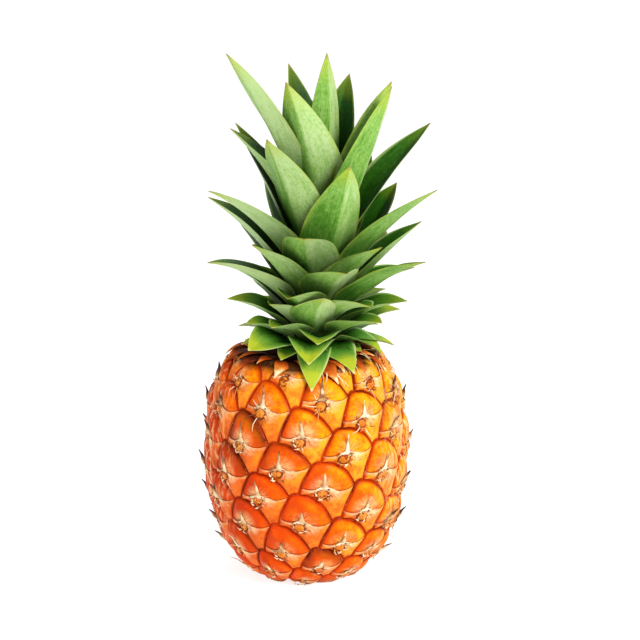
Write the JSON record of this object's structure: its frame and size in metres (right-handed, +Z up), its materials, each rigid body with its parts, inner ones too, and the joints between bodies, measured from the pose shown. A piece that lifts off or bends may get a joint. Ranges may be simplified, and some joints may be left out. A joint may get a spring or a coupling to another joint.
{
  "type": "pineapple",
  "caption": "Ripe whole pineapple standing on its trimmed base, with raised spiny eyes in spirals and a leafy crown.",
  "frame": {"origin": "centre of the cut stalk's face, on the surface that the fruit stands on", "axes": "+Z up along the fruit towards the crown; -Y is the side that faces a viewer at azimuth 0"},
  "size_m": [0.126, 0.1223, 0.2823],
  "materials": {
    "fruit_skin": "waxy, half-gloss rind over juicy flesh",
    "crown_leaf": "stiff green leaf with a grey bloom",
    "cut_stalk": "dry cut fibres"
  },
  "bodies": {
    "root": {"fruit": "fruit_skin", "crown": "crown_leaf", "stalk_stub": "cut_stalk"}
  },
  "joints": []
}
